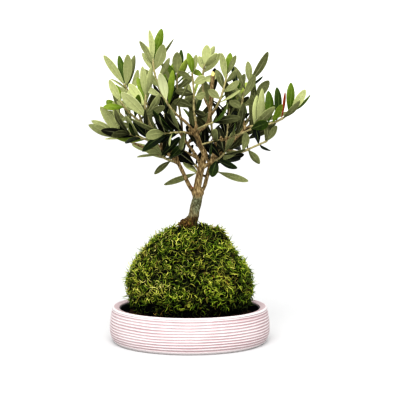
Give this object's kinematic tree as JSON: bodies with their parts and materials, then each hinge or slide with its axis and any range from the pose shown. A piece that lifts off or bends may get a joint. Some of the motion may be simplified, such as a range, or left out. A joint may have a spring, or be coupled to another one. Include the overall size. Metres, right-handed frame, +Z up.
{
  "type": "kokedama moss ball plant",
  "caption": "Small olive tree growing from a moss-wrapped soil ball that stands in a shallow round ribbed dish; a free-standing table plant.",
  "frame": {"origin": "centre of the flat underside of the dish", "axes": "+Z up along the dish's axis, +X to the right and +Y away from the front of the plant"},
  "size_m": [0.2631, 0.1956, 0.379],
  "materials": {
    "slip": "matt pale slip rubbed thin over rose clay",
    "tray": "thin moulded black plastic",
    "soil": "moist crumbly peat",
    "moss": "curly living moss",
    "bark": "fine rough bark",
    "leaf": "leathery, satin above and felted below"
  },
  "bodies": {
    "root": {"dish": "slip", "liner": "tray", "soil": "soil", "moss": "moss", "trunk": "bark", "shoot_left_low": "leaf", "shoot_left_outer": "leaf", "shoot_left_inner": "leaf", "shoot_left_top": "leaf", "shoot_crown_left": "leaf", "shoot_crown_back": "leaf", "shoot_crown_middle": "leaf", "shoot_crown_right": "leaf", "shoot_right_upper": "leaf", "shoot_right_top": "leaf", "shoot_right_long": "leaf", "shoot_right_low": "leaf", "shoot_under_left": "leaf", "shoot_under_right": "leaf", "shoot_trunk_left": "leaf", "shoot_trunk_right": "leaf", "shoot_back_1": "leaf", "shoot_back_2": "leaf", "shoot_back_3": "leaf", "shoot_back_4": "leaf", "shoot_back_5": "leaf", "shoot_back_6": "leaf", "shoot_back_7": "leaf", "shoot_back_8": "leaf", "shoot_back_9": "leaf", "shoot_middle_1": "leaf", "shoot_middle_3": "leaf", "shoot_middle_2": "leaf", "shoot_back_10": "leaf", "shoot_low_1": "leaf", "shoot_low_2": "leaf", "shoot_front_1": "leaf", "shoot_front_2": "leaf", "shoot_front_3": "leaf", "shoot_front_4": "leaf", "shoot_front_5": "leaf"}
  },
  "joints": []
}
